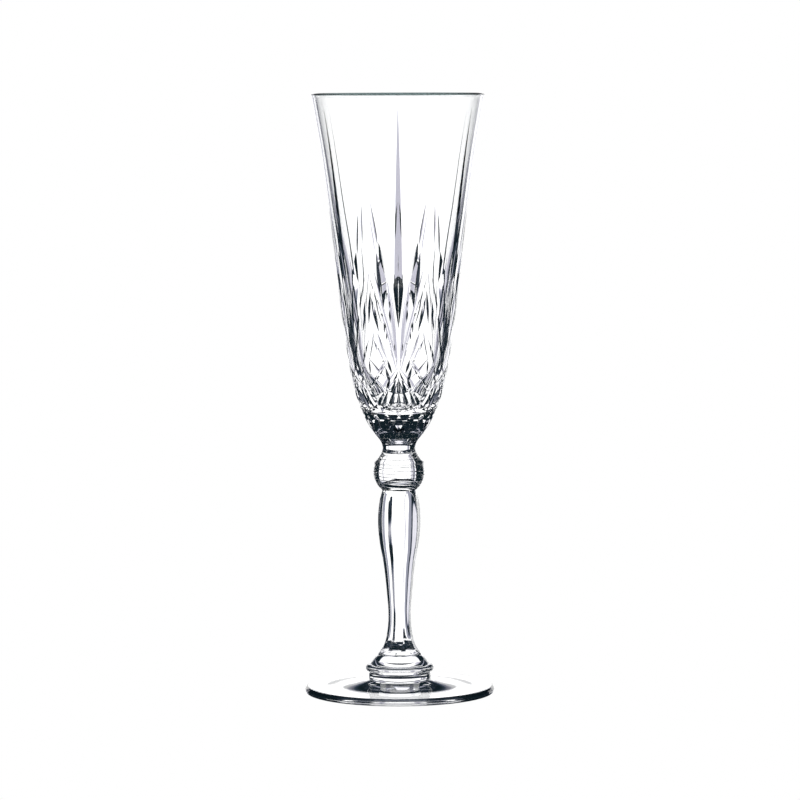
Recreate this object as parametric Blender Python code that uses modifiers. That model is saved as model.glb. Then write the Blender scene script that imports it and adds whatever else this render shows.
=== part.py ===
"""Cut-crystal champagne flute, standing on its foot.

Metres, +Z up, origin at the centre of the foot's underside. One cut motif faces -Y.
Five glass pieces, fused hot on the real glass, stand one above the other: foot, foot_collar,
stem, knop and bowl. Each pair is FUSE_GAP apart, so that every piece stays a body of its own.
"""

import math

import bmesh
import bpy

MM = 0.001

HEIGHT = 212.0
RIM_R = 30.8
FOOT_R = 33.6
FOOT_EDGE = 2.2
FUSE_GAP = 0.3

Z_NECK = 86.9
Z_WAIST = 72.2
Z_STEM_END = 10.5
Z_FOOT_TOP = 4.5

NECK_R = 5.75
WAIST_R = 5.95
KNOP_R = 9.15
STEM_MAX_R = 7.7
STEM_MIN_R = 4.05
COLLAR_R = 12.1
COLLAR_STEP_R = 11.0

BOWL_SEGMENTS = 54
FOOT_SEGMENTS = 48
KNOP_SEGMENTS = 40
MOTIFS = 6
PANELS = 8
KNOP_GROOVES = 6
KNOP_GROOVE_DEPTH = 0.25

# Outer side of the bowl, (height, radius), from the neck to the rim.
BOWL_SIDE = (
    (Z_NECK, NECK_R), (89.3, 6.4), (92.1, 8.5), (95.0, 10.5), (98.0, 12.0), (103.5, 14.3),
    (114.0, 17.0), (130.0, 19.5), (150.0, 21.9), (171.0, 24.3), (192.4, 27.2), (HEIGHT, RIM_R),
)
# Inside of the bowl, from its round bottom to the rim.
BOWL_INSIDE = (
    (101.0, 0.0), (101.8, 5.4), (104.5, 9.0), (110.0, 12.0), (130.0, 16.3), (150.0, 19.1),
    (171.0, 22.7), (192.4, 26.0), (HEIGHT, 29.6),
)
KNOP_SIDE = (
    (Z_WAIST, WAIST_R), (73.6, 7.35), (75.0, 8.2), (77.0, 8.95), (78.9, KNOP_R), (80.6, 8.9),
    (82.1, 8.7), (82.8, 8.0), (83.7, 7.3), (85.0, 6.4), (Z_NECK, NECK_R),
)
STEM_SIDE = (
    (Z_STEM_END, 10.3), (12.8, 8.5), (16.0, 6.15), (21.7, 4.5), (27.5, STEM_MIN_R), (36.0, 4.6),
    (46.6, 5.8), (53.7, 7.1), (60.8, STEM_MAX_R), (67.9, 7.15), (Z_WAIST, WAIST_R),
)


def smooth(stations, count):
    """Points along a smooth curve through the stations, evenly shared between them."""
    points = []
    last = len(stations) - 1
    for i in range(last):
        p0 = stations[max(i - 1, 0)]
        p1, p2 = stations[i], stations[i + 1]
        p3 = stations[min(i + 2, last)]
        for k in range(count):
            t = k / count
            point = []
            for a, b, c, d in zip(p0, p1, p2, p3):
                rise = (c - a) * t + (2 * a - 5 * b + 4 * c - d) * t * t
                point.append(b + 0.5 * (rise + (3 * b - a - 3 * c + d) * t ** 3))
            points.append(tuple(point))
    points.append(tuple(stations[last]))
    return points


def radius_at(stations, z):
    """Radius of a smooth side at height z."""
    points = smooth(stations, 8)
    for (z0, r0), (z1, r1) in zip(points, points[1:]):
        if z <= z1:
            return r0 + (r1 - r0) * (z - z0) / (z1 - z0)
    return points[-1][1]


def trimmed(stations, low, high):
    """The same side with its two ends moved in to the heights low and high."""
    inner = [p for p in stations if low < p[0] < high]
    ends = [(low, radius_at(stations, low))], [(high, radius_at(stations, high))]
    return ends[0] + inner + ends[1]


def glass(name):
    material = bpy.data.materials.new(name)
    material.use_nodes = True
    shader = material.node_tree.nodes["Principled BSDF"]
    shader.inputs["Base Color"].default_value = (0.97, 0.98, 0.99, 1.0)
    shader.inputs["Roughness"].default_value = 0.02
    shader.inputs["IOR"].default_value = 1.52
    shader.inputs["Transmission Weight"].default_value = 1.0
    return material


def add_object(name, mesh, collection, material=None):
    part = bpy.data.objects.new(name, mesh)
    collection.objects.link(part)
    if material is not None:
        mesh.materials.append(material)
        for face in mesh.polygons:
            face.use_smooth = True
    return part


def turned(name, outline, steps, collection, material):
    """A body turned about Z from an outline of (radius, height) points, given from top to bottom."""
    mesh = bpy.data.meshes.new(name)
    verts = [(r * MM, 0.0, z * MM) for r, z in outline]
    mesh.from_pydata(verts, [(i, i + 1) for i in range(len(verts) - 1)], [])
    part = add_object(name, mesh, collection, material)
    screw = part.modifiers.new("turn", "SCREW")
    screw.axis = "Z"
    screw.angle = math.tau
    screw.steps = steps
    screw.render_steps = steps
    screw.use_merge_vertices = True
    screw.merge_threshold = 0.00001
    screw.use_smooth_shade = True
    return part


def lofted(name, heights, around, radius, collection, material):
    """A closed body of rings, whose radius is a function of the angle and the height."""
    bm = bmesh.new()
    rings = []
    for z in heights:
        ring = []
        for k in range(around):
            angle = math.tau * k / around
            r = radius(angle, z)
            place = (r * math.cos(angle) * MM, r * math.sin(angle) * MM, z * MM)
            ring.append(bm.verts.new(place))
        rings.append(ring)
    for below, above in zip(rings, rings[1:]):
        for k in range(around):
            n = (k + 1) % around
            bm.faces.new((below[k], below[n], above[n], above[k]))
    bm.faces.new(list(reversed(rings[0])))
    bm.faces.new(rings[-1])
    bmesh.ops.recalc_face_normals(bm, faces=bm.faces)
    mesh = bpy.data.meshes.new(name)
    bm.to_mesh(mesh)
    bm.free()
    part = add_object(name, mesh, collection, material)
    for face in mesh.polygons:
        face.use_smooth = len(face.vertices) == 4
    return part


def bowl_outline():
    """Round the solid base, up the outer side, over the rounded rim and down the inside."""
    low = Z_NECK + FUSE_GAP / 2
    outer = smooth(trimmed(BOWL_SIDE, low, HEIGHT - 0.8), 2)
    inner = smooth(trimmed(BOWL_INSIDE[1:], 101.8, HEIGHT - 0.8), 2)
    lip = []
    outer_r, inner_r = outer[-1][1], inner[-1][1]
    for k in range(1, 6):
        turn = math.pi * k / 6
        across = (outer_r + inner_r) / 2 + (outer_r - inner_r) / 2 * math.cos(turn)
        lip.append((across, HEIGHT - 0.8 + 0.8 * math.sin(turn)))
    inside = [(r, z) for z, r in reversed(inner)] + [(2.6, 101.2), (0.0, 101.0)]
    outside = [(r, z) for z, r in reversed(outer)] + [(0.0, low)]
    return list(reversed(inside)) + list(reversed(lip)) + outside


def groove(bm, start, end, widest, half_width, depth, pieces=8):
    """Adds one V-shaped wheel cut to the cutter: a blade that follows the bowl's side.

    start and end are (degrees, height) points, and widest is where the cut is deepest, as a share
    of its length. The blade rises clear of the glass at both ends, so the cut runs out to points.
    """
    clear = 0.5
    sections = []
    for k in range(pieces + 1):
        t = k / pieces
        degrees = start[0] + (end[0] - start[0]) * t
        z = start[1] + (end[1] - start[1]) * t
        share = t / widest if t < widest else (1 - t) / (1 - widest)
        sink = depth * (1.08 * math.sin(share * math.pi / 2) - 0.08)
        side = half_width * (sink + clear) / depth
        r = radius_at(BOWL_SIDE, z)
        angle = math.radians(degrees - 90.0)
        out = (math.cos(angle), math.sin(angle))
        along = (-math.sin(angle), math.cos(angle))
        ring = []
        for reach, shift in ((-sink, 0.0), (clear, side), (clear, -side)):
            x = (r + reach) * out[0] + shift * along[0]
            y = (r + reach) * out[1] + shift * along[1]
            ring.append(bm.verts.new((x * MM, y * MM, z * MM)))
        sections.append(ring)
    for a, b in zip(sections, sections[1:]):
        for k in range(3):
            n = (k + 1) % 3
            bm.faces.new((a[k], a[n], b[n], b[k]))
    bm.faces.new(sections[0])
    bm.faces.new(sections[-1])


def cutter(name, grooves, collection):
    """One cutting body that holds the same grooves for each motif round the bowl."""
    bm = bmesh.new()
    for motif in range(MOTIFS):
        turn = 360.0 * motif / MOTIFS
        for start, end, widest, half_width, depth, pieces in grooves:
            a = (start[0] + turn, start[1])
            b = (end[0] + turn, end[1])
            groove(bm, a, b, widest, half_width, depth, pieces)
    bmesh.ops.recalc_face_normals(bm, faces=bm.faces)
    mesh = bpy.data.meshes.new(name)
    bm.to_mesh(mesh)
    bm.free()
    part = add_object(name, mesh, collection)
    part.hide_render = True
    part.display_type = "WIRE"
    return part


def mirrored(grooves):
    """The mirror images of the grooves about the middle of the motif."""
    return [((-a[0], a[1]), (-b[0], b[1]), *rest) for a, b, *rest in grooves]


def bowl_cutters(collection):
    """The wheel cuts in sets, so that no two blades of one set cross."""
    spears = [
        ((0.0, 208.0), (0.0, 137.0), 0.8, 1.35, 0.75, 7),
        ((0.0, 109.2), (0.0, 99.7), 0.8, 1.1, 1.5, 3),
    ]
    lenses = [
        ((19.8, 157.0), (14.6, 137.8), 0.55, 1.5, 1.2, 4),
        ((27.2, 141.6), (20.6, 129.2), 0.5, 0.7, 0.8, 3),
        ((20.0, 99.6), (20.0, 94.4), 0.5, 0.9, 0.6, 3),
        ((12.3, 109.5), (26.0, 100.8), 0.7, 1.0, 1.6, 3),
    ]
    rays = [
        ((12.5, 146.0), (3.4, 119.5), 0.35, 0.7, 0.4, 4),
        ((27.6, 148.8), (10.0, 121.0), 0.5, 0.65, 0.36, 4),
        ((27.0, 126.4), (14.5, 116.6), 0.5, 0.6, 0.34, 3),
    ]
    fan = [
        ((2.4, 110.6), (14.5, 100.4), 0.8, 1.0, 1.6, 3),
    ]
    leaning = [
        ((2.2, 112.9), (28.4, 103.2), 0.8, 1.1, 0.6, 4),
        ((12.0, 118.6), (27.6, 112.8), 0.5, 0.6, 0.34, 3),
    ]
    diamond = [((0.0, 150.2), (0.0, 130.4), 0.3, 1.8, 1.8, 4)]
    return [
        cutter("cutter_spears", spears + lenses + mirrored(lenses), collection),
        cutter("cutter_rays", rays + mirrored(rays), collection),
        cutter("cutter_fan", fan + mirrored(fan) + diamond, collection),
        cutter("cutter_leaning_right", leaning, collection),
        cutter("cutter_leaning_left", mirrored(leaning), collection),
    ]


def cut_with(part, cutters):
    for tool in cutters:
        boolean = part.modifiers.new(tool.name, "BOOLEAN")
        boolean.operation = "DIFFERENCE"
        boolean.solver = "EXACT"
        boolean.object = tool


def knop_outline():
    """A bell above a ball, with shallow grooves round the ball."""
    half = FUSE_GAP / 2
    low, high, shoulder = Z_WAIST + half, Z_NECK - half, 81.0
    outline = [(0.0, high)]
    for k in range(8):
        z = high + (shoulder - high) * k / 8
        outline.append((radius_at(KNOP_SIDE, z), z))
    rows = 4 * KNOP_GROOVES
    for k in range(rows + 1):
        z = shoulder + (low - shoulder) * k / rows
        sink = KNOP_GROOVE_DEPTH if k % 4 == 2 else 0.0
        outline.append((radius_at(KNOP_SIDE, z) - sink, z))
    outline.append((0.0, low))
    return outline


def stem_radius(angle, z):
    """Eight hollow panels with sharp edges between them, running out to round at both ends."""
    r = radius_at(STEM_SIDE, z)
    top = min(1.0, max(0.0, (Z_WAIST - 0.6 - z) / 4.0))
    bottom = min(1.0, max(0.0, (z - 15.5) / 5.0))
    wave = (PANELS * angle / math.tau + 0.22) % 1.0
    return r * (1.0 - 0.088 * top * bottom * 4 * wave * (1 - wave))


def heights(low, high, count):
    return [low + (high - low) * k / count for k in range(count + 1)]


def collar_outline():
    """The bead with the narrower step under it."""
    low = Z_FOOT_TOP + FUSE_GAP / 2
    high = Z_STEM_END - FUSE_GAP / 2
    outline = [(0.0, high), (10.2, high)]
    for k in range(1, 8):
        turn = math.pi * (0.5 - k / 8)
        outline.append((10.3 + (COLLAR_R - 10.3) * math.cos(turn), 8.85 + 1.35 * math.sin(turn)))
    outline += [(10.6, 7.4), (COLLAR_STEP_R, 6.9), (COLLAR_STEP_R, low), (0.0, low)]
    return outline


def foot_outline():
    """A thin disc with a rounded edge. It stands on a flat ring, and its middle is hollowed."""
    high = Z_FOOT_TOP - FUSE_GAP / 2
    outline = [(0.0, high), (11.2, high)]
    for k in range(1, 6):
        t = k / 6
        outline.append((11.2 + 21.3 * t, FOOT_EDGE + 0.1 + (high - FOOT_EDGE - 0.1) * (1 - t) ** 2))
    half = FOOT_EDGE / 2
    for k in range(0, 7):
        turn = math.pi * (0.5 - k / 6)
        outline.append((FOOT_R - half + half * math.cos(turn), half + half * math.sin(turn)))
    outline.append((26.5, 0.0))
    for k in range(1, 5):
        t = k / 5
        outline.append((26.5 * (1 - t), 1.0 * (1 - (1 - t) ** 2)))
    outline.append((0.0, 1.0))
    return outline


def build():
    for old in list(bpy.data.objects):
        bpy.data.objects.remove(old, do_unlink=True)
    parts = bpy.data.collections.new("champagne_flute")
    tools = bpy.data.collections.new("cutters")
    for group in (parts, tools):
        bpy.context.scene.collection.children.link(group)
    tools.hide_render = True

    bowl = turned("bowl", bowl_outline(), BOWL_SEGMENTS, parts, glass("bowl_crystal"))
    cut_with(bowl, bowl_cutters(tools))
    half = FUSE_GAP / 2
    turned("knop", knop_outline(), KNOP_SEGMENTS, parts, glass("knop_crystal"))
    lofted(
        "stem", heights(Z_STEM_END + half, Z_WAIST - half, 26), 32, stem_radius, parts,
        glass("stem_crystal"),
    )
    turned("foot_collar", collar_outline(), FOOT_SEGMENTS, parts, glass("collar_crystal"))
    turned("foot", foot_outline(), FOOT_SEGMENTS, parts, glass("foot_crystal"))


build()
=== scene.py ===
"""Looks of the cut-crystal champagne flute: clear cut glass on a plain white table.

Five shown pieces stand for the five CAD nodes, and meet where the real glass is fused.
Lengths are in millimetres until a mesh is made. Angles run round the glass from the motif
that faces -Y, towards +X.
"""

import math

import bpy
import numpy as np
from mathutils import Euler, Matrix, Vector
from mathutils.geometry import delaunay_2d_cdt


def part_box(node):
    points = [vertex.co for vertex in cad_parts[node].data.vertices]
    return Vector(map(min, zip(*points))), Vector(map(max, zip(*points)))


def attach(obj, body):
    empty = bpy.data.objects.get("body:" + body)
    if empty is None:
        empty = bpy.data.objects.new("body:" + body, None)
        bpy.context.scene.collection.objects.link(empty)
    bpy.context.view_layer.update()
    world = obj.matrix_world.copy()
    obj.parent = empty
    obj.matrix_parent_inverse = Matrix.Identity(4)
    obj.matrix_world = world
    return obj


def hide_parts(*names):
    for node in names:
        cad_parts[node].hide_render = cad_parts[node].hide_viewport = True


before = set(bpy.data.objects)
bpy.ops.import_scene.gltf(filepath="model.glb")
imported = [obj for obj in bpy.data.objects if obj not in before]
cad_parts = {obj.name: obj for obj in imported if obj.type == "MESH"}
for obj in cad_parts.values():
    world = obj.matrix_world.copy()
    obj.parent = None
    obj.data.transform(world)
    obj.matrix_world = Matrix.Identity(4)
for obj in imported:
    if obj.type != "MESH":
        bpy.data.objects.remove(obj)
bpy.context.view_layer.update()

MM = 0.001
MOTIFS = 6
PANELS = 8
HALF_MOTIF = 180.0 / MOTIFS
# Steps across half a motif, and round the whole bowl.
COLUMNS = 12
AROUND = 2 * MOTIFS * COLUMNS
# The cut pattern is laid out flat, with its arcs measured at this radius.
REF_R = 20.0


def top_of(node):
    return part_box(node)[1].z / MM


def bottom_of(node):
    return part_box(node)[0].z / MM


HEIGHT = top_of("bowl")
RIM_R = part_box("bowl")[1].x / MM
FOOT_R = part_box("foot")[1].x / MM
Z_NECK = (bottom_of("bowl") + top_of("knop")) / 2
Z_WAIST = (bottom_of("knop") + top_of("stem")) / 2
Z_STEM_END = (bottom_of("stem") + top_of("foot_collar")) / 2
Z_FOOT_TOP = (bottom_of("foot_collar") + top_of("foot")) / 2
NECK_R = 5.75
WAIST_R = 5.95
RIM_WALL = 1.2
# The shown rim stays this far inside the CAD rim.
RIM_INSET = 0.03
# The round floor inside the bowl: the height and radius of its edge, and how far it sinks.
FLOOR_Z = 104.5
FLOOR_R = 9.0
FLOOR_SINK = 3.4
# The cuts of the bowl lie between these heights, in rows of about this height.
CUT_LOW = 93.6
CUT_HIGH = 208.8
ROW_HEIGHT = 1.2
# The middle of one panel of the stem is this many degrees to the -X side of the front.
PANEL_TURN = 9.8
COLLAR_R = 12.1
COLLAR_STEP_R = 11.0
FOOT_EDGE = 2.5


# Shapes of revolution


def spline(stations):
    """A smooth radius as a function of height, through (height, radius) stations."""
    z = np.array([s[0] for s in stations], float)
    r = np.array([s[1] for s in stations], float)
    step = np.diff(z)
    chord = np.diff(r) / step
    slope = np.empty(len(z))
    slope[1:-1] = (chord[:-1] * step[1:] + chord[1:] * step[:-1]) / (step[1:] + step[:-1])
    slope[0] = 1.5 * chord[0] - 0.5 * slope[1]
    slope[-1] = 1.5 * chord[-1] - 0.5 * slope[-2]

    def radius(height):
        height = np.asarray(height, float)
        i = np.clip(np.searchsorted(z, height) - 1, 0, len(z) - 2)
        h = step[i]
        t = (height - z[i]) / h
        a = r[i] * (2 * t**3 - 3 * t**2 + 1) + r[i + 1] * (3 * t**2 - 2 * t**3)
        b = h * (slope[i] * (t**3 - 2 * t**2 + t) + slope[i + 1] * (t**3 - t**2))
        return a + b

    return radius


bowl_side = spline((
    (Z_NECK, NECK_R), (89.3, 6.4), (92.1, 8.5), (95.0, 10.5), (98.0, 12.0), (103.5, 14.3),
    (114.0, 17.0), (130.0, 19.5), (150.0, 21.9), (171.0, 24.3), (192.4, 27.2),
    (HEIGHT, RIM_R - RIM_INSET),
))
bowl_inside = spline((
    (FLOOR_Z, FLOOR_R), (110.0, 12.0), (130.0, 16.3), (150.0, 19.1), (171.0, 22.7), (192.4, 26.0),
    (HEIGHT, RIM_R - RIM_WALL),
))
knop_side = spline((
    (Z_WAIST, WAIST_R), (73.6, 7.35), (75.0, 8.2), (77.0, 8.95), (78.9, 9.15), (80.6, 8.9),
    (81.5, 8.72), (82.1, 8.8), (82.8, 8.0), (83.7, 7.3), (85.0, 6.4), (Z_NECK, NECK_R),
))
stem_side = spline((
    (Z_STEM_END, 10.3), (12.8, 8.5), (16.0, 6.15), (21.7, 4.5), (27.5, 4.05), (36.0, 4.6),
    (46.6, 5.8), (53.7, 7.1), (60.8, 7.7), (67.9, 7.15), (Z_WAIST, WAIST_R),
))


def place(angle, radius, z):
    """Points at an angle in degrees, a radius and a height, as an array of x, y, z."""
    a = np.radians(angle)
    return np.stack(np.broadcast_arrays(radius * np.sin(a), -radius * np.cos(a), z), -1)


def turned(outline, around=AROUND):
    """Faces of a surface turned about Z. outline is (radius, height) points, glass to the left."""
    pts = np.array(outline, float)
    run = np.diff(pts, axis=0)
    run /= np.linalg.norm(run, axis=1)[:, None]
    side = np.stack([run[:, 1], -run[:, 0]], 1)
    corners, normals = [], []
    angle = np.arange(around + 1) * 360.0 / around
    for i in range(len(run)):
        ends = []
        for j, k in ((i, i - 1), (i + 1, i + 1)):
            near = side[i] + (side[k] if 0 <= k < len(run) and side[i] @ side[k] > 0.8 else 0)
            ends.append((pts[j], near / np.linalg.norm(near)))
        p = [place(angle, e[0][0], e[0][1]) for e in ends]
        n = [place(angle, e[1][0], e[1][1]) for e in ends]
        for made, rows in ((corners, p), (normals, n)):
            made.append(np.stack([rows[0][:-1], rows[0][1:], rows[1][1:], rows[1][:-1]], 1))
    return np.concatenate(corners), np.concatenate(normals)


def gridded(angles, heights, radius):
    """Faces of a surface given as radius(angle, height).

    Each face has its own corner normals, taken a little inside it, so that edges stay sharp.
    """
    corners = np.empty((len(heights) - 1, angles.shape[1] - 1, 4, 3))
    normals = np.empty_like(corners)
    inside = 0.04
    a0, a1 = angles[:, :-1], angles[:, 1:]
    for k, (row, column) in enumerate(((0, 0), (0, 1), (1, 1), (1, 0))):
        z = np.broadcast_to(heights[row : len(heights) - 1 + row, None], a0[:-1].shape)
        a = (a1 if column else a0)[row : len(heights) - 1 + row]
        corners[:, :, k] = place(a, radius(a, z), z)
        other = (a0 if column else a1)[row : len(heights) - 1 + row]
        z_other = np.broadcast_to(heights[1 - row : len(heights) - row, None], z.shape)
        drift = (a1 if column else a0)[1 - row : len(heights) - row] - a
        am, zm = a + inside * (other - a) + inside * drift, z + inside * (z_other - z)
        da, dz = 0.02, 0.002
        across = place(am + da, radius(am + da, zm), zm) - place(am - da, radius(am - da, zm), zm)
        up = place(am, radius(am, zm + dz), zm + dz) - place(am, radius(am, zm - dz), zm - dz)
        n = np.cross(across, up)
        normals[:, :, k] = n / np.linalg.norm(n, axis=-1, keepdims=True)
    return corners.reshape(-1, 4, 3), normals.reshape(-1, 4, 3)


def make_piece(name, patches, node):
    """One object from patches of faces, with its corners joined and its own corner normals."""
    grain = 2e-8
    points = np.concatenate([c.reshape(-1, 3) for c, _ in patches]) * MM
    normals = np.concatenate([n.reshape(-1, 3) for _, n in patches])
    keys, index = np.unique(np.round(points / grain).astype(np.int64), axis=0, return_inverse=True)
    index = index.reshape(-1)
    faces, corner_normals, at = [], [], 0
    for c, _ in patches:
        for _ in range(len(c)):
            ring = list(range(at, at + c.shape[1]))
            at += c.shape[1]
            kept = [i for k, i in enumerate(ring) if index[i] != index[ring[k - 1]]]
            if len(kept) > 2:
                faces.append([int(index[i]) for i in kept])
                corner_normals += [normals[i] for i in kept]
    mesh = bpy.data.meshes.new(name)
    mesh.from_pydata((keys * grain).tolist(), [], faces)
    mesh.polygons.foreach_set("use_smooth", [True] * len(faces))
    mesh.normals_split_custom_set([Vector(n) for n in corner_normals])
    piece = bpy.data.objects.new(name, mesh)
    bpy.context.scene.collection.objects.link(piece)
    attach(piece, "root")
    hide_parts(node)
    return piece


# The wheel cuts of the bowl


def swell(t, widest, rise, fall):
    """Width of a cut along its length, from 0 at each end to 1 where it is widest."""
    t = np.asarray(t, float)
    u = np.where(t < widest, t / widest, (1 - t) / (1 - widest))
    return 1 - (1 - np.clip(u, 0, 1)) ** np.where(t < widest, rise, fall)


def groove(start, end, widths, slope, shape, flat=0.0, bow=0.0, flip=1, pieces=10):
    """One V cut as triangles in (arc, height), each with the depth at its corners.

    start and end are (degrees, height). widths are those of its outer and inner face where it
    is widest, and slope is the slope of its outer face. shape is (widest, rise, fall). flat is
    the half width of the strip the wheel leaves along the bottom. bow bends the middle
    outwards, in degrees. Each triangle also has the cut's gradient at its corners.
    """
    t = np.linspace(0, 1, pieces + 1)
    z = start[1] + (end[1] - start[1]) * t
    a = np.radians(flip * (start[0] + (end[0] - start[0]) * t + 4 * bow * t * (1 - t)))
    r = bowl_side(z)
    ahead = np.stack([np.gradient(a, t) * r, np.gradient(z, t)], 1)
    length = np.linalg.norm(ahead, axis=1)
    ahead /= length[:, None]
    left = np.stack([-ahead[:, 1] * REF_R / r, ahead[:, 0]], 1)
    part = swell(t, *shape)
    depth = slope * part * (widths[0] - flat)
    along = (np.gradient(depth, t) / length)[:, None] * ahead
    axis = np.stack([a * REF_R, z], 1)
    per_turn = np.stack([r, np.ones_like(r)], 1)
    strips = []
    for side, width in ((flip, widths[0]), (-flip, widths[1])):
        face = slope * (widths[0] - flat) / (width - flat)
        across = side * face * np.stack([-ahead[:, 1], ahead[:, 0]], 1)
        inner = axis + side * flat * part[:, None] * left
        outer = axis + side * width * part[:, None] * left
        strips.append((inner, depth, outer, 0.0 * depth, (along - across) * per_turn))
        if flat:
            strips.append((axis, depth, inner, depth, along * per_turn))
    return [facet for strip in strips for facet in facets_of(*strip)]


def facets_of(near, near_depth, far, far_depth, grad):
    """A strip between two edges as triangles, each with its points, depths and gradients."""
    found = []
    for i in range(len(grad) - 1):
        v, e = (near[i], near_depth[i], grad[i]), (far[i], far_depth[i], grad[i])
        v2 = (near[i + 1], near_depth[i + 1], grad[i + 1])
        e2 = (far[i + 1], far_depth[i + 1], grad[i + 1])
        for three in ((v, e2, v2), (v, e, e2)):
            p = np.array([q[0] for q in three])
            area = (p[1, 0] - p[0, 0]) * (p[2, 1] - p[0, 1])
            area -= (p[2, 0] - p[0, 0]) * (p[1, 1] - p[0, 1])
            if abs(area) > 1e-6:
                found.append((p, np.array([q[1] for q in three]), np.array([q[2] for q in three])))
    return found


def motif():
    """The cuts of half a motif, with their mirror images and those that reach in from the next.

    A row is what groove takes: where the cut starts and ends, the widths of its two faces, its
    slope and its shape, and for some cuts the flat strip and the bow.
    """
    pale, dark, steep = 0.56, 1.15, 2.0
    spears = [
        ((0, 208.2), (0, 136.0), (1.35, 1.35), pale, (0.80, 1.3, 2.0)),
        ((0, 162.0), (0, 146.5), (0.35, 0.35), 3.0, (0.6, 1.3, 1.6)),
        ((25.5, 172.5), (21.0, 156.0), (0.45, 0.45), pale, (0.7, 1.6, 1.6)),
    ]
    lenses = [
        ((0, 150.2), (0, 130.4), (1.8, 1.8), dark, (0.25, 1.7, 1.25), 0.14),
        ((19.8, 157.2), (14.6, 137.8), (1.10, 2.2), dark, (0.55, 1.5, 1.25)),
        ((27.2, 141.6), (20.6, 129.2), (0.70, 0.60), dark, (0.5, 1.6, 1.6)),
        ((15.2, 117.0), (10.2, 110.8), (0.6, 0.5), dark, (0.5, 1.6, 1.6)),
    ]
    rays = [
        ((12.5, 146.0), (1.2, 114.6), (0.70, 0.70), pale, (0.3, 1.5, 1.15), 0.0, -1.0),
        ((27.8, 148.8), (1.6, 114.6), (0.65, 0.65), pale, (0.5, 1.5, 1.3)),
        ((27.5, 126.6), (14.5, 116.6), (0.6, 0.6), pale, (0.5, 1.6, 1.6)),
    ]
    leaning = [
        ((12.0, 118.6), (42.0, 107.5), (0.6, 0.6), pale, (0.5, 1.6, 1.6)),
        ((0.5, 113.8), (33.0, 101.6), (1.1, 1.3), pale, (0.85, 1.2, 2.0)),
    ]
    fan = [
        ((0.6, 112.2), (14.5, 100.4), (1.0, 1.0), steep, (0.80, 1.1, 2.2)),
        ((12.0, 109.6), (26.5, 100.6), (1.0, 1.0), steep, (0.70, 1.3, 2.0)),
        ((0.0, 108.8), (0.0, 99.8), (1.1, 1.1), steep, (0.80, 1.1, 2.0), 0.1),
    ]
    base = [
        ((0.0, 100.1), (30.0, 102.3), (0.4, 0.4), steep, (0.5, 3.0, 3.0)),
        ((0.0, 99.4), (0.0, 94.2), (1.4, 1.4), 0.5, (0.5, 1.8, 1.8)),
        ((20.0, 100.4), (20.0, 94.2), (1.3, 1.3), 0.6, (0.5, 1.8, 1.8)),
    ]
    triangles = []
    for start, end, *rest in spears + lenses + rays + leaning + fan + base:
        for turn in (0, 2 * HALF_MOTIF):
            for flip in (1, -1):
                a = (start[0] + flip * turn, start[1])
                b = (end[0] + flip * turn, end[1])
                triangles.append(groove(a, b, *rest, flip=flip))
    return triangles


def planes_of(points, depths):
    """Each triangle's depth as c0 + c1 arc + c2 height."""
    ones = np.ones(points.shape[:2] + (1,))
    return np.linalg.solve(np.concatenate([ones, points], 2), depths[..., None])[..., 0]


def edges_of(points):
    """Inward half planes of each triangle, as c0 + c1 arc + c2 height >= 0."""
    nxt = np.roll(points, -1, axis=1)
    d = nxt - points
    n = np.stack([-d[..., 1], d[..., 0]], -1)
    n /= np.linalg.norm(n, axis=-1, keepdims=True)
    third = np.roll(points, -2, axis=1)
    flip = np.sign(((third - points) * n).sum(-1, keepdims=True))
    n *= flip
    return np.concatenate([-(points * n).sum(-1, keepdims=True), n], -1)


def depth_at(points, planes, edges, slack=1e-5):
    """The depth of the deepest cut at each point, and which triangle it is, or -1."""
    q = np.concatenate([np.ones((len(points), 1)), points], 1)
    value = q @ planes.T
    inside = np.ones(value.shape, bool)
    for k in range(3):
        inside &= q @ edges[:, k].T > -slack
    value = np.where(inside, value, -1.0)
    best = value.argmax(1)
    depth = value[np.arange(len(points)), best]
    return np.maximum(depth, 0.0), np.where(depth > 1e-6, best, -1)


def seams(points, planes, edges, owner):
    """Lines in the pattern: the sides of every facet, and where two facets of two cuts meet."""
    lines = []
    low, high = points.min(1), points.max(1)
    for i in range(len(points)):
        for k in range(3):
            lines.append((points[i, k], points[i, (k + 1) % 3]))
        near = np.nonzero(
            (owner > owner[i]) & (low <= high[i]).all(1) & (high >= low[i]).all(1)
        )[0]
        for j in near:
            c = planes[i] - planes[j]
            size = math.hypot(c[1], c[2])
            if size < 1e-9:
                continue
            base = -c[0] * c[1:] / size**2
            along = np.array([-c[2], c[1]]) / size
            lo, hi = -1e3, 1e3
            for e in np.concatenate([edges[i], edges[j]]):
                rate, value = e[1:] @ along, e[0] + e[1:] @ base
                if abs(rate) < 1e-12:
                    hi = hi if value >= 0 else lo
                elif rate > 0:
                    lo = max(lo, -value / rate)
                else:
                    hi = min(hi, -value / rate)
            if hi - lo > 1e-3:
                lines.append((base + lo * along, base + hi * along))
    return lines


def visible(lines, planes, edges):
    """The lines that lie on the cut surface somewhere along their length."""
    lines = np.array(lines)
    seen = np.zeros(len(lines), bool)
    for t in (0.02, 0.25, 0.5, 0.75, 0.98):
        p = lines[:, 0] * (1 - t) + lines[:, 1] * t
        depth, _ = depth_at(p, planes, edges)
        q = np.concatenate([np.ones((len(p), 1)), p], 1)
        value = q @ planes.T
        inside = np.ones(value.shape, bool)
        for k in range(3):
            inside &= q @ edges[:, k].T > -1e-4
        on_top = inside & (np.abs(value - depth[:, None]) < 1e-4)
        seen |= on_top.any(1)
    return lines[seen]


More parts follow.
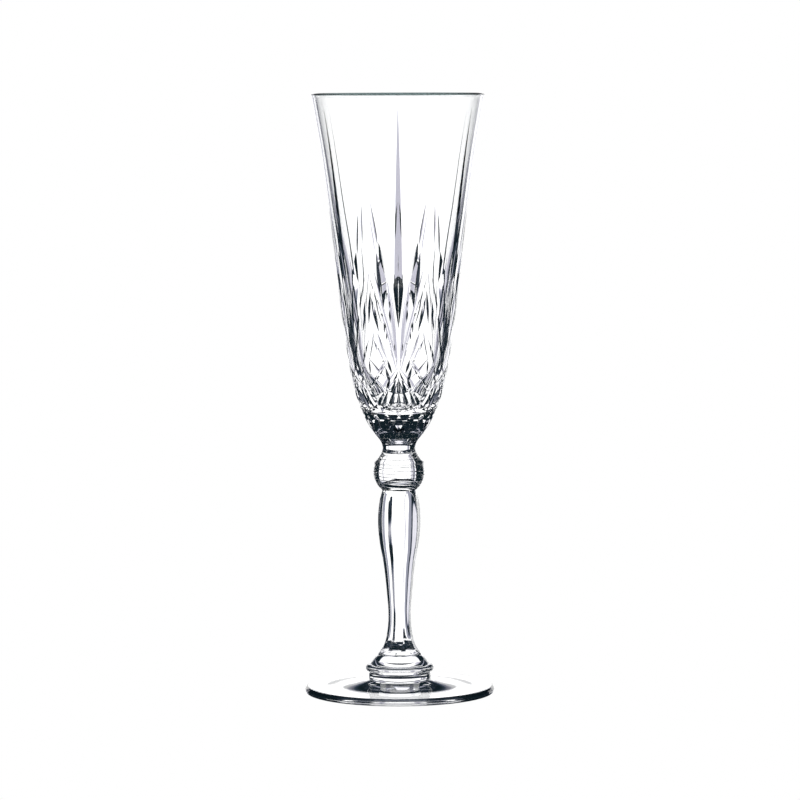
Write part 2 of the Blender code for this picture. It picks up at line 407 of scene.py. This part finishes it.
def clipped(line, width, low, high):
    """The part of a line inside the half motif, or None."""
    p, d = line[0], line[1] - line[0]
    t0, t1 = 0.0, 1.0
    for k, (lo, hi) in enumerate(((0.0, width), (low, high))):
        if abs(d[k]) < 1e-12:
            if not lo <= p[k] <= hi:
                return None
            continue
        a, b = sorted(((lo - p[k]) / d[k], (hi - p[k]) / d[k]))
        t0, t1 = max(t0, a), min(t1, b)
    if t1 - t0 < 1e-6:
        return None
    return p + t0 * d, p + t1 * d


def sheet_grid(width, rows):
    """A grid of points over half a motif, and the lines along its four sides."""
    verts, links = [], []
    for j in range(rows + 1):
        for i in range(COLUMNS + 1):
            verts.append((width * i / COLUMNS, CUT_LOW + (CUT_HIGH - CUT_LOW) * j / rows))
    for j in (0, rows):
        for i in range(COLUMNS):
            links.append((j * (COLUMNS + 1) + i, j * (COLUMNS + 1) + i + 1))
    for i in (0, COLUMNS):
        for j in range(rows):
            links.append((j * (COLUMNS + 1) + i, (j + 1) * (COLUMNS + 1) + i))
    return verts, links


def cut_sheet():
    """The cut side of half a motif, as flat triangles with the index of the facet each lies on."""
    sets = motif()
    owner = np.concatenate([[k] * len(s) for k, s in enumerate(sets)])
    points = np.array([t[0] for s in sets for t in s])
    depths = np.array([t[1] for s in sets for t in s])
    grads = np.array([t[2] for s in sets for t in s])
    width = math.radians(HALF_MOTIF) * REF_R
    reach = (points[:, :, 0].max(1) > -0.5) & (points[:, :, 0].min(1) < width + 0.5)
    owner, points, depths, grads = owner[reach], points[reach], depths[reach], grads[reach]
    planes, edges = planes_of(points, depths), edges_of(points)
    verts, links = sheet_grid(width, round((CUT_HIGH - CUT_LOW) / ROW_HEIGHT))
    for line in visible(seams(points, planes, edges, owner), planes, edges):
        part = clipped(line, width, CUT_LOW, CUT_HIGH)
        if part is not None:
            links.append((len(verts), len(verts) + 1))
            verts += [tuple(part[0]), tuple(part[1])]
    made = delaunay_2d_cdt([Vector(v) for v in verts], links, [], 0, 1e-4)
    flat = np.array([tuple(v) for v in made[0]])
    faces = np.array([f for f in made[2] if len(f) == 3])
    flat[:, 0] = np.clip(flat[:, 0], 0.0, width)
    depth, _ = depth_at(flat, planes, edges, 1e-4)
    _, facet = depth_at(flat[faces].mean(1), planes, edges, 1e-7)
    return flat, faces, depth, facet, points, grads


def gradients(p, facet, points, grads):
    """The cut's gradient at each corner of the triangles p, from the facet each lies on."""
    gradient = np.zeros(p.shape)
    for i in np.nonzero(facet >= 0)[0]:
        corners = points[facet[i]]
        share = np.linalg.solve(
            np.concatenate([np.ones((1, 3)), corners.T]), np.concatenate([np.ones((1, 3)), p[i].T])
        )
        gradient[i] = share.T @ grads[facet[i]]
    return gradient


def cut_side():
    """The outer side of the bowl where it is cut: the half motif, mirrored and repeated."""
    flat, faces, depth, facet, points, grads = cut_sheet()
    p = flat[faces]
    z, angle = p[..., 1], np.degrees(p[..., 0] / REF_R)
    radius = bowl_side(z) - depth[faces]
    rise = (bowl_side(z + 0.01) - bowl_side(z - 0.01)) / 0.02
    gradient = gradients(p, facet, points, grads)
    turn, lift = gradient[..., 0], gradient[..., 1] - rise
    corners, normals = [], []
    for k in range(MOTIFS):
        for flip in (1, -1):
            a = flip * angle + 360.0 * k / MOTIFS
            out = place(a, 1.0, 0.0)
            along = place(a + 90.0, 1.0, 0.0)
            n = out + along * (flip * turn / radius)[..., None]
            n[..., 2] += lift
            n /= np.linalg.norm(n, axis=-1, keepdims=True)
            c = place(a, radius, z)
            order = slice(None) if flip > 0 else slice(None, None, -1)
            corners.append(c[:, order])
            normals.append(n[:, order])
    return np.concatenate(corners), np.concatenate(normals)


def rim_top():
    """The fire-polished top of the wall."""
    half = RIM_WALL / 2
    middle = RIM_R - RIM_INSET - half
    over = []
    for k in range(0, 25):
        turn = math.pi * k / 24
        over.append((middle + half * math.cos(turn), HEIGHT - half + half * math.sin(turn)))
    return over


def make_bowl():
    """The side below the cuts, the cut side, and all from above the cuts to the inside's floor."""
    low = [(float(bowl_side(z)), z) for z in np.linspace(Z_NECK, CUT_LOW, 19)]
    high = [(float(bowl_side(z)), z) for z in np.linspace(CUT_HIGH, HEIGHT - RIM_WALL, 4)]
    inner = [(float(bowl_inside(z)), z) for z in np.linspace(HEIGHT - RIM_WALL, FLOOR_Z, 80)]
    floor = []
    for k in range(1, 14):
        turn = math.pi / 2 * k / 14
        floor.append((FLOOR_R * math.cos(turn), FLOOR_Z - FLOOR_SINK * math.sin(turn)))
    floor.append((0.0, FLOOR_Z - FLOOR_SINK))
    return [turned(low), cut_side(), turned(high + rim_top() + inner + floor)]


def winding_columns(starts, notch):
    """Angles of the columns of faces, with columns on each groove's edges and along its bottom."""
    half = np.concatenate([np.linspace(0, 0.5 - notch, 16)[:-1], np.linspace(0.5 - notch, 0.5, 6)[:-1]])
    one = np.concatenate([half, [0.5], 1 - half[:0:-1]])
    return np.concatenate([k + one for k in range(starts)] + [[float(starts)]]) * 360.0 / starts


def knop_faces():
    """A smooth bell above, and below it a ball with fine grooves that wind round it."""
    starts, turns, notch, deep = 2, 3.75, 0.12, 0.22
    shoulder = 81.5

    def share_of(z):
        return np.clip((shoulder - z) / (shoulder - Z_WAIST), 0.0, 1.0)

    def radius(angle, z):
        share = share_of(z)
        wave = (starts * (angle / 360.0 - turns * share)) % 1.0
        fall = np.clip(1 - np.abs(wave - 0.5) / notch, 0.0, 1.0)
        return knop_side(z) - deep * np.clip(2 * np.sin(math.pi * share), 0.0, 1.0) * fall

    heights = np.concatenate([
        np.linspace(Z_WAIST, shoulder, 150), np.linspace(shoulder, Z_NECK, 24)[1:]
    ])
    columns = winding_columns(starts, notch)
    angles = columns[None, :] + 360.0 * turns * share_of(heights)[:, None]
    return [gridded(angles, heights, radius)]


def stem_faces():
    """Eight hollow panels with narrow rounded ridges between them, each with a rounded tip."""
    ridge, hollow = 0.045, 0.085

    def radius(angle, z):
        side = stem_side(z)
        deep = np.minimum(np.clip((Z_WAIST - 0.3 - z) / 5.0, 0, 1), np.clip((z - 14.6) / 4.6, 0, 1))
        wave = (PANELS * (angle + PANEL_TURN) / 360.0 + 0.5) % 1.0
        off = np.minimum(wave, 1 - wave)
        fall = np.where(off < ridge, 2 * ridge - 4 * ridge**2 + 2 * off**2 / ridge, 4 * off - 4 * off**2)
        return side - hollow * side * np.maximum(fall - 1 + deep * (2 - deep), 0.0)

    heights = np.linspace(Z_STEM_END, Z_WAIST, 180)
    half = np.concatenate([np.linspace(0, ridge, 4)[:-1], np.linspace(ridge, 0.5, 7)[:-1]])
    one = np.concatenate([half, [0.5], 1 - half[:0:-1]])
    steps = np.concatenate([k + one for k in range(PANELS)] + [[float(PANELS)]])
    columns = steps * 360.0 / PANELS - PANEL_TURN + 180.0 / PANELS
    angles = np.broadcast_to(columns, (len(heights), len(columns)))
    return [gridded(angles, heights, radius)]


def collar_faces():
    """The step that stands on the foot, and above it the bead."""
    bead_z, bead_high, bead_inner = 8.9, 1.45, 10.35
    outline = [(10.9, Z_FOOT_TOP), (COLLAR_STEP_R, 4.8), (COLLAR_STEP_R, 6.6), (10.85, 7.1)]
    for k in range(0, 21):
        turn = math.pi * (k / 20 - 0.5)
        across = bead_inner + (COLLAR_R - bead_inner) * math.cos(turn)
        outline.append((across, bead_z + bead_high * math.sin(turn)))
    return [turned(outline + [(10.3, Z_STEM_END)])]


def foot_faces():
    """The disc, with its top side rising to the collar, a rounded edge and a hollowed underside."""
    half, hollow_r, hollow_z = FOOT_EDGE / 2, 26.5, 1.0
    under = [(0.0, hollow_z)]
    for k in range(1, 25):
        r = hollow_r * k / 24
        under.append((r, hollow_z * (1 - (r / hollow_r) ** 2)))
    under.append((FOOT_R - half, 0.0))
    edge = []
    for k in range(1, 24):
        turn = math.pi * (k / 24 - 0.5)
        edge.append((FOOT_R - half + half * math.cos(turn), half + half * math.sin(turn)))
    top = [(FOOT_R - half, FOOT_EDGE)]
    for k in range(1, 41):
        t = k / 40
        r = FOOT_R - half + (COLLAR_STEP_R - FOOT_R + half) * t
        top.append((r, FOOT_EDGE + (Z_FOOT_TOP - FOOT_EDGE) * t**2.8))
    return [turned(under + edge + top)]


# Glass


def ramp_node(nodes, low, high, at_low, at_high):
    """A node that takes low to at_low and high to at_high, in a straight line."""
    node = nodes.new("ShaderNodeMapRange")
    for name, number in zip(
        ("From Min", "From Max", "To Min", "To Max"), (low, high, at_low, at_high)
    ):
        node.inputs[name].default_value = number
    return node


def crystal():
    """Clear polished crystal, with a trace of tint that drifts, and painted shade that darkens the top
    of the rim to a blue-black line.
    """
    material = bpy.data.materials.new("crystal")
    material.use_nodes = True
    nodes, links = material.node_tree.nodes, material.node_tree.links
    shader = nodes["Principled BSDF"]
    shader.inputs["Transmission Weight"].default_value = 1.0
    shader.inputs["IOR"].default_value = 1.53
    coords = nodes.new("ShaderNodeTexCoord")
    drift = nodes.new("ShaderNodeTexNoise")
    drift.inputs["Scale"].default_value = 60.0
    drift.inputs["Detail"].default_value = 2.0
    links.new(coords.outputs["Object"], drift.inputs["Vector"])
    tint = nodes.new("ShaderNodeMix")
    tint.data_type = "RGBA"
    tint.inputs[6].default_value = (0.985, 0.99, 0.995, 1.0)
    tint.inputs[7].default_value = (1.0, 1.0, 1.0, 1.0)
    links.new(drift.outputs["Fac"], tint.inputs[0])
    split = nodes.new("ShaderNodeSeparateXYZ")
    links.new(coords.outputs["Object"], split.inputs[0])
    # Painted shade: the base colour fades to blue-black over the top of the rim. This paints on the dark
    # line that the clear rim only shows from the way it bends light.
    rim = ramp_node(nodes, (HEIGHT - 0.75) * MM, (HEIGHT - 0.45) * MM, 0.0, 1.0)
    links.new(split.outputs["Z"], rim.inputs["Value"])
    edge = nodes.new("ShaderNodeMix")
    edge.data_type = "RGBA"
    edge.inputs[7].default_value = (0.06, 0.10, 0.10, 1.0)
    links.new(rim.outputs["Result"], edge.inputs[0])
    links.new(tint.outputs[2], edge.inputs[6])
    links.new(edge.outputs[2], shader.inputs["Base Color"])
    gloss = ramp_node(nodes, 0.0, 1.0, 0.0, 0.006)
    links.new(drift.outputs["Fac"], gloss.inputs["Value"])
    links.new(gloss.outputs["Result"], shader.inputs["Roughness"])
    return material


# Light


class Maths:
    """Adds maths nodes to a node tree. Each call gives the output of the node it adds last."""

    def __init__(self, tree):
        self.nodes, self.links = tree.nodes, tree.links

    def __call__(self, operation, *values):
        node = self.nodes.new("ShaderNodeMath")
        node.operation = operation
        for socket, value in zip(node.inputs, values):
            if isinstance(value, (int, float)):
                socket.default_value = value
            else:
                self.links.new(value, socket)
        return node.outputs[0]

    def ramp(self, value, low, high, at_low, at_high):
        """at_low where the value is under low, at_high over high, and a smooth step between."""
        node = ramp_node(self.nodes, low, high, at_low, at_high)
        node.interpolation_type = "SMOOTHSTEP"
        self.links.new(value, node.inputs["Value"])
        return node.outputs["Result"]

    def band(self, value, start, end, soft=1.5, peak=1.0):
        """peak between start and end, and 0 outside."""
        rise = self.ramp(value, start - soft, start + soft, 0.0, 1.0)
        inside = self("MULTIPLY", rise, self.ramp(value, end - soft, end + soft, 1.0, 0.0))
        return inside if peak == 1.0 else self.ramp(inside, 0.0, 1.0, 0.0, peak)

    def blend(self, first, second, share):
        """first where the share is 0, and second where it is 1."""
        rest = self("MULTIPLY", first, self("SUBTRACT", 1.0, share))
        return self("ADD", rest, self("MULTIPLY", second, share))


def light_ahead(maths, bearing, aside, height, depth):
    """The panes on the +Y side of the room, up to 60 degrees to each side of straight ahead.

    Light through the bowl passes four surfaces and sees a wide pane. Light through the solid
    parts passes two, and sees a narrower one with dark strips. depth is one more than the
    number of surfaces.
    """
    above_nadir = maths.ramp(height, -78.0, -70.0, 0.0, 1.0)
    lilac_ends = maths.ramp(aside, 19.5, 21.5, 0.0, 0.22)
    lilac = maths("ADD", lilac_ends, maths.ramp(aside, 12.5, 15.5, 1.0, 0.78))
    wide = maths("MULTIPLY", lilac, maths.ramp(aside, 31.0, 33.0, 1.0, 0.0))
    low_pane = maths.ramp(aside, 45.0, 50.0, 1.0, 0.0)
    wide = maths.blend(wide, low_pane, maths.ramp(height, -26.0, -22.0, 1.0, 0.0))
    through_bowl = maths.ramp(depth, 4.4, 4.6, 0.0, 1.0)
    wide = maths("MULTIPLY", wide, maths("MAXIMUM", above_nadir, through_bowl))
    strips = maths.band(bearing, -31.5, -29.2, 0.4)
    strips = maths("ADD", strips, maths.band(bearing, -29.2, -26.0, 0.5, 0.55))
    strips = maths("ADD", strips, maths.band(bearing, -24.9, -22.0, 0.4, 0.85))
    narrow = maths("MAXIMUM", maths.band(bearing, -21.6, 41.0), strips)
    narrow = maths("SUBTRACT", narrow, maths.band(bearing, 28.0, 30.0, 0.3, 0.45))
    narrow = maths("MULTIPLY", narrow, above_nadir)
    return maths.blend(wide, narrow, maths.ramp(depth, 3.4, 3.6, 1.0, 0.0))


def light_around(maths, bearing, aside, height, depth):
    """The panes at the sides of the room and on its -Y side, one every 45 degrees.

    Near the horizon they are wide at each quarter turn and narrow between. Light that has
    passed three surfaces was turned back inside the glass, and sees almost none of them, except
    near the horizon and low on the -Y side.
    """
    quarter = maths("PINGPONG", bearing, 45.0)
    eighth = maths("PINGPONG", bearing, 22.5)
    level = maths.ramp(quarter, 14.0, 18.0, 1.0, 0.0)
    level = maths("MAXIMUM", level, maths.ramp(eighth, 6.0, 9.0, 1.0, 0.0))
    low = maths.ramp(eighth, 11.0, 14.0, 1.0, 0.0)
    panes = maths.blend(level, low, maths.ramp(height, -15.0, -12.0, 1.0, 0.0))
    turned_back = maths.ramp(maths.band(depth, 3.5, 4.5, 0.1), 0.0, 1.0, 1.0, 0.08)
    behind = maths.ramp(aside, 145.0, 155.0, 0.0, 1.0)
    low_behind = maths("MULTIPLY", maths.band(height, -79.0, -57.0), behind)
    excepted = maths("MAXIMUM", low_behind, maths.ramp(height, -20.0, -15.0, 0.0, 1.0))
    return maths("MULTIPLY", panes, maths("MAXIMUM", turned_back, excepted))


def room_light(maths, direction, paths):
    """How bright the room is, from 0 to 1, in each direction and after so many surfaces.

    The panes end a little above the horizon, and the ceiling is pale. Mirror images off the
    glass show only the middle of the room. Light that has passed more than four surfaces is dim.
    """
    bearing = maths("DEGREES", maths("ARCTAN2", direction[0], direction[1]))
    height = maths("DEGREES", maths("ARCSINE", direction[2]))
    aside = maths("ABSOLUTE", bearing)
    depth = paths.outputs["Ray Depth"]
    ahead = light_ahead(maths, bearing, aside, height, depth)
    around = light_around(maths, bearing, aside, height, depth)
    lit = maths.blend(ahead, around, maths.ramp(aside, 57.0, 60.0, 0.0, 1.0))
    lit = maths("MULTIPLY", lit, maths.ramp(height, 15.0, 20.0, 1.0, 0.0))
    ceiling = maths.ramp(height, 44.0, 56.0, 0.0, 0.88)
    lit = maths("MAXIMUM", lit, ceiling)
    sideways = maths.ramp(aside, 40.0, 50.0, 0.0, 1.0)
    steep = maths.ramp(maths("ABSOLUTE", height), 12.0, 18.0, 0.0, 1.0)
    bounced = paths.outputs["Is Reflection Ray"]
    unlit = maths("MULTIPLY", maths("MAXIMUM", sideways, steep), bounced)
    lit = maths("MULTIPLY", lit, maths("SUBTRACT", 1.0, unlit))
    return maths("MULTIPLY", lit, maths.ramp(depth, 5.2, 6.8, 1.0, 0.1))


def room_tone(tree, lit):
    """The colour of the room: blue-black where dark, lilac where dim, and white where lit."""
    tone = tree.nodes.new("ShaderNodeValToRGB")
    stops = (
        (0.0, (0.004, 0.009, 0.012, 1.0)),
        (0.35, (0.07, 0.09, 0.13, 1.0)),
        (0.80, (0.48, 0.47, 0.54, 1.0)),
        (1.0, (1.0, 1.0, 1.0, 1.0)),
    )
    while len(tone.color_ramp.elements) < len(stops):
        tone.color_ramp.elements.new(0.5)
    for element, (at, colour) in zip(tone.color_ramp.elements, stops):
        element.position = at
        element.color = colour
    tree.links.new(lit, tone.inputs["Fac"])
    return tone.outputs["Color"]


def make_world():
    """A white room. Pale panes and dark strips stand all round it, and only the glass shows them."""
    world = bpy.data.worlds.new("studio")
    bpy.context.scene.world = world
    world.use_nodes = True
    tree = world.node_tree
    nodes, links = tree.nodes, tree.links
    nodes.clear()
    maths = Maths(tree)
    coords = nodes.new("ShaderNodeTexCoord")
    split = nodes.new("ShaderNodeSeparateXYZ")
    links.new(coords.outputs["Generated"], split.inputs[0])
    paths = nodes.new("ShaderNodeLightPath")
    room = nodes.new("ShaderNodeBackground")
    room.inputs["Strength"].default_value = 1.45
    links.new(room_tone(tree, room_light(maths, split.outputs, paths)), room.inputs["Color"])
    paper = nodes.new("ShaderNodeBackground")
    paper.inputs["Color"].default_value = (1.0, 1.0, 1.0, 1.0)
    plain = maths("MAXIMUM", paths.outputs["Is Camera Ray"], paths.outputs["Is Diffuse Ray"])
    mix = nodes.new("ShaderNodeMixShader")
    links.new(plain, mix.inputs[0])
    links.new(room.outputs[0], mix.inputs[1])
    links.new(paper.outputs[0], mix.inputs[2])
    out = nodes.new("ShaderNodeOutputWorld")
    links.new(mix.outputs[0], out.inputs["Surface"])


# Stage


def make_floor():
    """The white table. It lies just under the foot, and the glass doesn't show it."""
    corners, reach = 64, 4.0
    ring = []
    for k in range(corners):
        turn = math.tau * k / corners
        ring.append((reach * math.cos(turn), reach * math.sin(turn), 0))
    mesh = bpy.data.meshes.new("floor")
    mesh.from_pydata(ring, [], [list(range(corners))])
    floor = bpy.data.objects.new("floor", mesh)
    floor.location.z = -0.0001
    floor.visible_transmission = False
    floor.visible_glossy = False
    bpy.context.scene.collection.objects.link(floor)
    material = bpy.data.materials.new("white_table")
    material.use_nodes = True
    nodes, links = material.node_tree.nodes, material.node_tree.links
    nodes.clear()
    glow = nodes.new("ShaderNodeEmission")
    glow.inputs["Color"].default_value = (1.0, 1.0, 1.0, 1.0)
    out = nodes.new("ShaderNodeOutputMaterial")
    links.new(glow.outputs[0], out.inputs["Surface"])
    mesh.materials.append(material)


def make_camera():
    """A long lens just above the height of the rim, looking down a little."""
    data = bpy.data.cameras.new("camera")
    data.lens = 181.7
    data.sensor_width = 36.0
    data.clip_start, data.clip_end = 0.05, 50.0
    camera = bpy.data.objects.new("camera", data)
    bpy.context.scene.collection.objects.link(camera)
    camera.location = (0.00084, -1.42, 0.2215)
    camera.rotation_euler = Euler((math.radians(90 - 4.73), math.radians(0.2), 0.0), "XYZ")
    bpy.context.scene.camera = camera


def set_view():
    """Plain colours, and enough bounces for light to get through all the glass."""
    scene = bpy.context.scene
    scene.view_settings.view_transform = "Standard"
    scene.cycles.max_bounces = 32
    scene.cycles.transmission_bounces = 32
    scene.cycles.glossy_bounces = 16
    scene.cycles.transparent_max_bounces = 16


glass = crystal()
for name, patches, node in (
    ("bowl_glass", make_bowl(), "bowl"),
    ("knop_glass", knop_faces(), "knop"),
    ("stem_glass", stem_faces(), "stem"),
    ("collar_glass", collar_faces(), "foot_collar"),
    ("foot_glass", foot_faces(), "foot"),
):
    piece = make_piece(name, patches, node)
    piece.data.materials.append(glass)
    print(name, len(piece.data.polygons), "faces")

make_world()
make_floor()
make_camera()
set_view()
